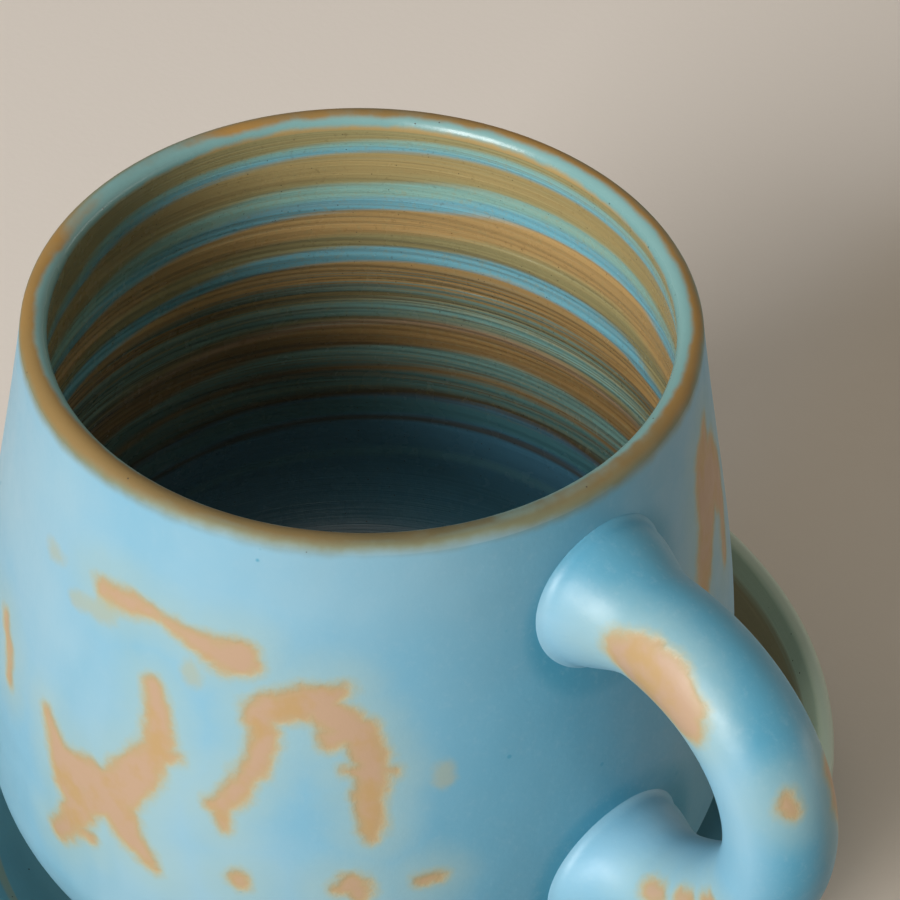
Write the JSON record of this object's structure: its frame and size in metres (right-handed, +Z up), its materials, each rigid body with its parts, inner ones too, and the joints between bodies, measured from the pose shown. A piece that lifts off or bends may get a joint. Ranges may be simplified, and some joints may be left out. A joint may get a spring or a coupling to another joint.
{
  "type": "mug with saucer",
  "caption": "Wheel-thrown ceramic mug, wide at the belly and narrow at the lip, with a pulled ear handle, standing loose in a deep matching saucer; for hot drinks.",
  "frame": {"origin": "centre of the saucer's foot ring, on the plane the set stands on", "axes": "+Z up along the common axis of mug and saucer, +X along the mug's handle"},
  "size_m": [0.1386, 0.1216, 0.0908],
  "materials": {
    "stoneware": "bare fired clay, matt, tan with fine iron specks",
    "sky_glaze": "satin gloss sky-blue glaze that breaks to tan where it runs thin",
    "banded_glaze": "glossy glaze in teal and tan bands that follow the throwing rings",
    "lip_glaze": "thin glossy glaze, brown where the iron of the clay shows through",
    "saucer_glaze": "glossy teal glaze with brown bands and dark specks"
  },
  "bodies": {
    "saucer": {"saucer_body": "stoneware", "saucer_top_glaze": "saucer_glaze", "saucer_under_glaze": "sky_glaze"},
    "mug": {"mug_body": "stoneware", "mug_handle": "stoneware", "outer_glaze": "sky_glaze", "handle_glaze": "sky_glaze", "liner_glaze": "banded_glaze", "lip_glaze": "lip_glaze"}
  },
  "joints": [
    {"name": "mug_lift", "type": "slide", "parent": "saucer", "child": "mug", "axis": [0, 0, 1], "range_m": [0, 0.12]}
  ]
}
